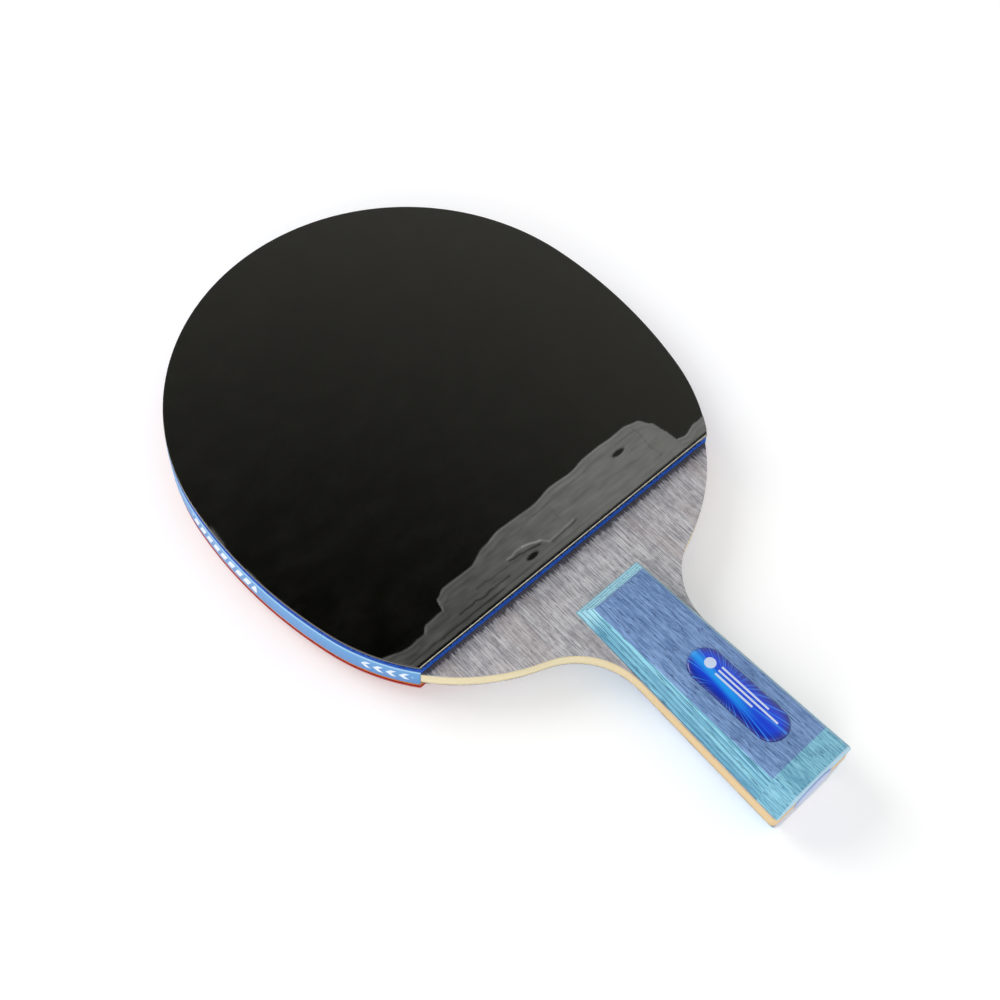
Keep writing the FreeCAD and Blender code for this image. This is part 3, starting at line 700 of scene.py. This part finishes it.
def build_topsheet(name, material, side):
    """Rubber sheet with softened edges on a staggered field of round pips."""
    vertices, faces = [], []

    def close(base, rings, count):
        """Walls between rings of count vertices from base on, and a face at each end."""
        for ring in range(rings - 1):
            start = base + ring * count
            for i in range(count):
                j = (i + 1) % count
                faces.append((start + i, start + j, start + count + j, start + count + i)[::side])
        faces.append(tuple(range(base, base + count))[::-side])
        faces.append(tuple(range(base + (rings - 1) * count, base + rings * count))[::side])

    path = rim_path()
    edge = ((0.0, SHEET_UNDER), (0.0, SHEET_TOP - 0.18), (0.05, SHEET_TOP - 0.05), (0.16, SHEET_TOP))
    for inset, level in edge:
        for (x, y), out in path:
            vertices.append((x - out[0] * inset, y - out[1] * inset, MID + side * level))
    close(0, len(edge), len(path))
    pip_sides = 8
    turns = [2 * math.pi * k / pip_sides for k in range(pip_sides)]
    circle = [(PIP_RADIUS * math.cos(turn), PIP_RADIUS * math.sin(turn)) for turn in turns]
    for x, y in pip_centres():
        base = len(vertices)
        for level in (SPONGE_TOP, SHEET_UNDER):
            vertices += [(x + right, y + up, MID + side * level) for right, up in circle]
        close(base, 2, pip_sides)
    return make_object(name, vertices, faces, material, smooth=False)


def pip_centres():
    """Centres of the pips: rows across the head, every other one shifted by half a pitch."""
    inset = PIP_RADIUS + 0.2
    columns = int(HEAD[1] / PIP_PITCH) + 2
    row, y = 0, CUT_Y + inset
    while y < TIP_Y - inset:
        reach = half_width(y) - inset
        for column in range(-columns, columns + 1):
            x = (column + 0.5 * (row % 2)) * PIP_PITCH
            if abs(x) < reach:
                yield x, y
        row, y = row + 1, y + PIP_PITCH * math.sqrt(3) / 2


def capsule_ring(radius, gap, steps=28):
    """Outline of a capsule along Y: two half circles, each this far from the middle."""
    ring = []
    for start, centre in ((0.0, gap), (math.pi, -gap)):
        for i in range(steps + 1):
            angle = start + math.pi * i / steps
            ring.append((radius * math.cos(angle), centre + radius * math.sin(angle)))
    return ring


def domed(rings, floor_z):
    """Vertices and faces of a dome from rings of (outline, height), closed underneath."""
    vertices, faces = [], []
    count = len(rings[0][0])
    for outline, z in [(rings[0][0], floor_z)] + rings:
        vertices += [(x, y, z) for x, y in outline]
    for r in range(len(rings)):
        for i in range(count):
            j = (i + 1) % count
            faces.append((r * count + i, r * count + j, (r + 1) * count + j, (r + 1) * count + i))
    faces.append(tuple(range(count))[::-1])
    faces.append(tuple(len(rings) * count + i for i in range(count)))
    return vertices, faces


def build_badge(material):
    """Epoxy dome over a capsule, sunk in the slab and tilted with it."""
    radius, thick, wall, levels = 5.42, 1.25, 0.52, 12
    rings = []
    for k in range(levels + 1):
        turn = k / levels * math.pi / 2
        inset = radius * (1 - math.cos(turn)) * 0.97
        height = wall + (thick - wall) * math.sin(turn) ** 0.8
        rings.append((capsule_ring(radius - inset, BADGE_GAP), height))
    vertices, faces = domed(rings, 0.02)
    tilt = Matrix.Rotation(-SLAB_SLOPE, 4, "X")
    seat_point = Vector((0.0, BADGE_Y, MID + BADGE_SEAT))
    vertices = [tuple(tilt @ Vector(v) + seat_point) for v in vertices]
    return make_object("badge_dome", vertices, faces, material)


def build_lens(material):
    """Low round dome on the butt's end face."""
    radius, thick, wall, levels, sides = 7.38, 0.58, 0.15, 8, 72
    round_angles = [2 * math.pi * i / sides for i in range(sides)]
    rings = []
    for k in range(levels + 1):
        turn = k / levels * math.pi / 2
        reach = radius * math.cos(turn * 0.985)
        outline = [(reach * math.cos(a), reach * math.sin(a)) for a in round_angles]
        rings.append((outline, wall + (thick - wall) * math.sin(turn)))
    vertices, faces = domed(rings, 0.0)
    outward = Matrix.Rotation(math.radians(90), 4, "X")
    middle = Vector((0.0, BUTT_Y, MID))
    vertices = [tuple(outward @ Vector(v) + middle) for v in vertices]
    return make_object("butt_dome", vertices, faces, material)


# ---------------------------------------------------------------- the paddle

grey = grey_veneer()
core = bare_wood("core_wood", srgb(236, 226, 190), srgb(228, 202, 156))
inner = bare_wood("inner_wood", srgb(228, 214, 172), srgb(220, 190, 140))
slab = veneer("blue_grey_veneer", srgb(132, 164, 210), srgb(88, 120, 168), srgb(46, 66, 112))
end_wood = veneer("cyan_wood", srgb(142, 202, 222), srgb(94, 156, 184), srgb(36, 88, 124),
                  end=(srgb(170, 210, 230), srgb(206, 204, 214)))
base_wood = laminate("cyan_laminate", srgb(148, 214, 232), srgb(94, 158, 188), srgb(36, 90, 126))

PAINT = {
    "core_ply": core, "front_inner_ply": inner, "rear_inner_ply": inner,
    "front_face_ply": grey, "rear_face_ply": grey,
    "front_sponge": sponge("blue_sponge", srgb(58, 130, 248), srgb(22, 66, 176)),
    "rear_sponge": sponge("orange_sponge", srgb(246, 158, 66), srgb(222, 112, 34)),
    "front_grip_slab": slab, "rear_grip_slab": slab,
    "front_grip_base": base_wood, "rear_grip_base": base_wood,
    "front_grip_end_block": end_wood, "rear_grip_end_block": end_wood,
}

for label, material in PAINT.items():
    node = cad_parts[label]
    node.data.materials.clear()
    node.data.materials.append(material)

GRIP_BLOCKS = [label for label in PAINT if "_grip_" in label]
for label in GRIP_BLOCKS:
    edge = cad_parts[label].modifiers.new("eased_edges", "BEVEL")
    edge.width = 0.25 * MM
    edge.segments = 3
    edge.limit_method = "ANGLE"
    edge.angle_limit = math.radians(22)

clear_film = film_material("clear_film")
PIECES = [
    (build_film("film_front", clear_film, 1), "front_film", "clear_film"),
    (build_film("film_rear", clear_film, -1), "rear_film", "clear_film"),
    (build_topsheet("sheet_front", sheet_rubber("black_rubber", srgb(4, 4, 2), srgb(10, 10, 7)), 1),
     "front_topsheet", "black_rubber"),
    (build_topsheet("sheet_rear", sheet_rubber("red_rubber", srgb(176, 20, 30), srgb(150, 16, 26)), -1),
     "rear_topsheet", "red_rubber"),
    (build_tape(tape_material()), "edge_tape", "edge_tape"),
    (build_badge(badge_material()), "grip_badge", "blue_badge"),
    (build_lens(lens_material()), "butt_badge", "lavender_badge"),
]

for piece, node, slot in PIECES:
    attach(piece, "root")
    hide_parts(node)


# ---------------------------------------------------------------- studio

def place_in_scene(name, data):
    """New object for some data, linked to the scene."""
    made = bpy.data.objects.new(name, data)
    bpy.context.scene.collection.objects.link(made)
    return made


def area_light(name, place, size, power):
    """Round soft light aimed at the frame's origin, in metres and watts."""
    data = bpy.data.lights.new(name, "AREA")
    data.shape = "DISK"
    data.size = size
    data.energy = power
    made = place_in_scene(name, data)
    made.location = place
    made.rotation_euler = (-Vector(place)).to_track_quat("-Z", "Y").to_euler()


def studio_floor():
    """Large flat floor a hair below the paddle."""
    reach, drop = 3.0, 0.0002
    corners = [(-reach, -reach, 0), (reach, -reach, 0), (reach, reach, 0), (-reach, reach, 0)]
    mesh = bpy.data.meshes.new("studio_floor")
    mesh.from_pydata(corners, [], [(0, 1, 2, 3)])
    mesh.materials.append(floor_material())
    made = place_in_scene("studio_floor", mesh)
    made.location.z = -drop
    return made


def studio_world():
    """White room with one soft black flag overhead, towards the tip of the head."""
    flag_towards = (0.12, 0.25, 0.961)
    flag_edge, flag_middle, room_strength = 0.855, 0.985, 0.72
    world = bpy.data.worlds.new("studio")
    world.use_nodes = True
    tree = world.node_tree
    sky = tree.nodes["Background"]
    direction = tree.nodes.new("ShaderNodeTexCoord")
    toward = tree.nodes.new("ShaderNodeVectorMath")
    toward.operation = "DOT_PRODUCT"
    toward.inputs[1].default_value = flag_towards
    ramp = tree.nodes.new("ShaderNodeMapRange")
    for index, number in enumerate((flag_edge, flag_middle, room_strength, 0.0), start=1):
        ramp.inputs[index].default_value = number
    tree.links.new(direction.outputs["Generated"], toward.inputs[0])
    tree.links.new(toward.outputs["Value"], ramp.inputs[0])
    tree.links.new(ramp.outputs[0], sky.inputs["Strength"])
    sky.inputs["Color"].default_value = (1.0, 1.0, 1.0, 1)
    return world


def studio_camera():
    """Camera over the left neck, turned so that the handle points to the lower right."""
    eye = Vector((-0.1730, -0.15322, 0.40555))
    right = Vector((0.73108, -0.68059, 0.04807))
    up = Vector((0.56981, 0.6478, 0.50564))
    sensor, focal_in_sensor_widths = 36.0, 1.5231
    data = bpy.data.cameras.new("camera")
    data.sensor_width = sensor
    data.lens = focal_in_sensor_widths * sensor
    data.clip_start = 0.01
    made = place_in_scene("camera", data)
    facing = Matrix((right, up, right.cross(up))).transposed().to_4x4()
    made.matrix_world = Matrix.Translation(eye) @ facing
    return made


studio_floor()
area_light("key", (-0.45, 0.95, 1.0), 0.9, 7.5)
area_light("fill", (-0.9, -0.7, 0.8), 0.8, 4.0)

scene = bpy.context.scene
scene.world = studio_world()
scene.camera = studio_camera()
scene.view_settings.view_transform = "Standard"
